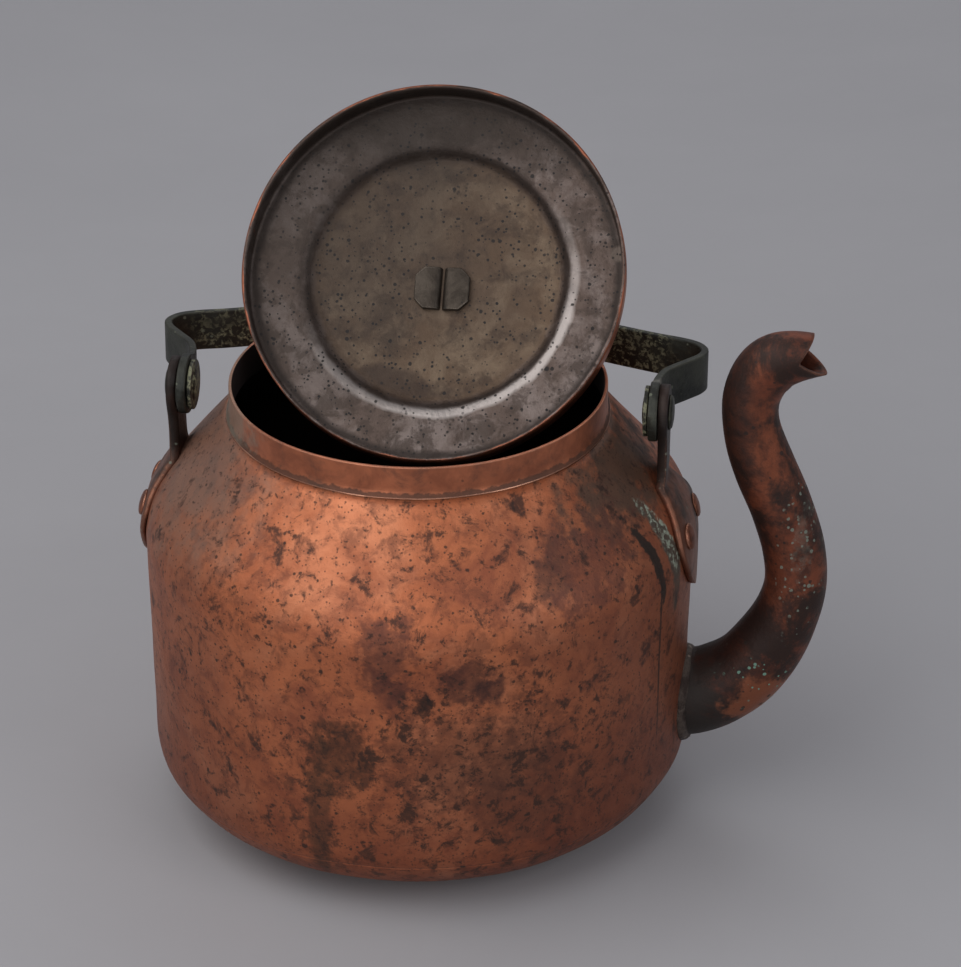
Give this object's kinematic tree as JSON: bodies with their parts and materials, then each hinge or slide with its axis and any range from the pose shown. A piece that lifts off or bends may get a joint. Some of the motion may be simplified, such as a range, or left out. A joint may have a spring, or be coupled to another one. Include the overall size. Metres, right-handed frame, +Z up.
{
  "type": "kettle",
  "caption": "Round-bodied copper kettle with a neck band, S-curved beaked spout, riveted ears, swinging strap handle and a loose cap lid with a strap loop.",
  "frame": {"origin": "centre of the base, on the surface the kettle stands on", "axes": "+Z up, +X from the body's axis towards the spout, +Y towards the side the handle is folded to"},
  "size_m": [0.2642, 0.21, 0.2649],
  "materials": {
    "body_copper": "worn orange-brown copper with brown blotches",
    "neck_copper": "brighter rubbed copper",
    "spout_copper": "dark red-brown copper with specks of verdigris",
    "ear_copper": "dark brown copper with bright edges",
    "rivet_copper": "hammered copper",
    "handle_bronze": "green-black patina",
    "lid_tin": "old tinning over copper, pitted and worn",
    "loop_bronze": "dark patina"
  },
  "bodies": {
    "kettle": {"body_wall": "body_copper", "base_pan": "body_copper", "neck_band": "neck_copper", "spout": "spout_copper", "spout_collar": "spout_copper", "ear_front": "ear_copper", "ear_rear": "ear_copper", "ear_rivet_front_left": "rivet_copper", "ear_rivet_front_right": "rivet_copper", "ear_rivet_rear_left": "rivet_copper", "ear_rivet_rear_right": "rivet_copper", "pivot_rivet_front": "handle_bronze", "pivot_rivet_rear": "handle_bronze", "pivot_washer_front": "handle_bronze", "pivot_washer_rear": "handle_bronze"},
    "handle": {"handle": "handle_bronze"},
    "lid": {"lid_plate": "lid_tin", "lid_loop": "loop_bronze"}
  },
  "joints": [
    {"name": "handle_swing", "type": "hinge", "parent": "kettle", "child": "handle", "pos_m": [0, 0, 0.1685], "axis": [1, 0, 0], "range_deg": [0, 186]},
    {"name": "lid_lift", "type": "slide", "parent": "kettle", "child": "lid", "axis": [0, 0, 1], "range_m": [0, 0.33]}
  ],
  "couplings": [
    {"joint": "lid_lift", "follows": "handle_swing", "m_per_rad": 0.1}
  ]
}
